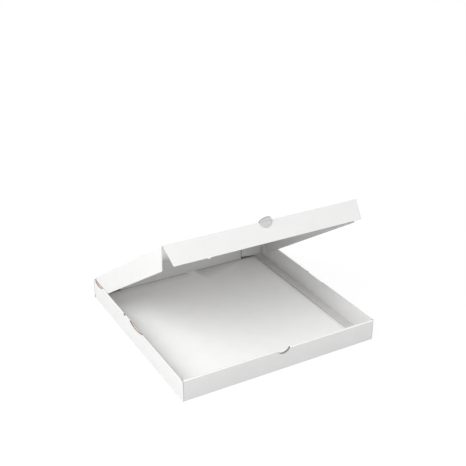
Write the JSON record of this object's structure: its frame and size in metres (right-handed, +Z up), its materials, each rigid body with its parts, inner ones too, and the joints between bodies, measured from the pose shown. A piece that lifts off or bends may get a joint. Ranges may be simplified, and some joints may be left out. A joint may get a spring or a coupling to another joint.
{
  "type": "pizza box",
  "caption": "Shallow square take-away box folded from thin white corrugated board: rolled-over tray walls, thumb notch, hinged lid with side flaps, tongue and tuck-in front flap.",
  "frame": {"origin": "middle of the tray's underside, on the surface that the box stands on", "axes": "+Z up, -Y towards the front wall and the lid's front flap, +X to the right seen from the front"},
  "size_m": [0.3, 0.3005, 0.2039],
  "materials": {
    "white_board": "matt white liner on both sides, pale brown core at the cut edges"
  },
  "bodies": {
    "tray": {"tray": "white_board"},
    "lid": {"lid": "white_board"},
    "front_flap": {"front_flap": "white_board"}
  },
  "joints": [
    {"name": "lid_hinge", "type": "hinge", "parent": "tray", "child": "lid", "pos_m": [0, 0.15, 0.0315], "axis": [-1, 0, 0], "range_deg": [-33.7, 146.3]},
    {"name": "front_flap_fold", "type": "hinge", "parent": "lid", "child": "front_flap", "pos_m": [0, -0.09526, 0.19543], "axis": [-1, 0, 0], "range_deg": [-17.9, 77.6]}
  ],
  "couplings": [
    {"joint": "front_flap_fold", "follows": "lid_hinge", "ratio": 0.53}
  ]
}
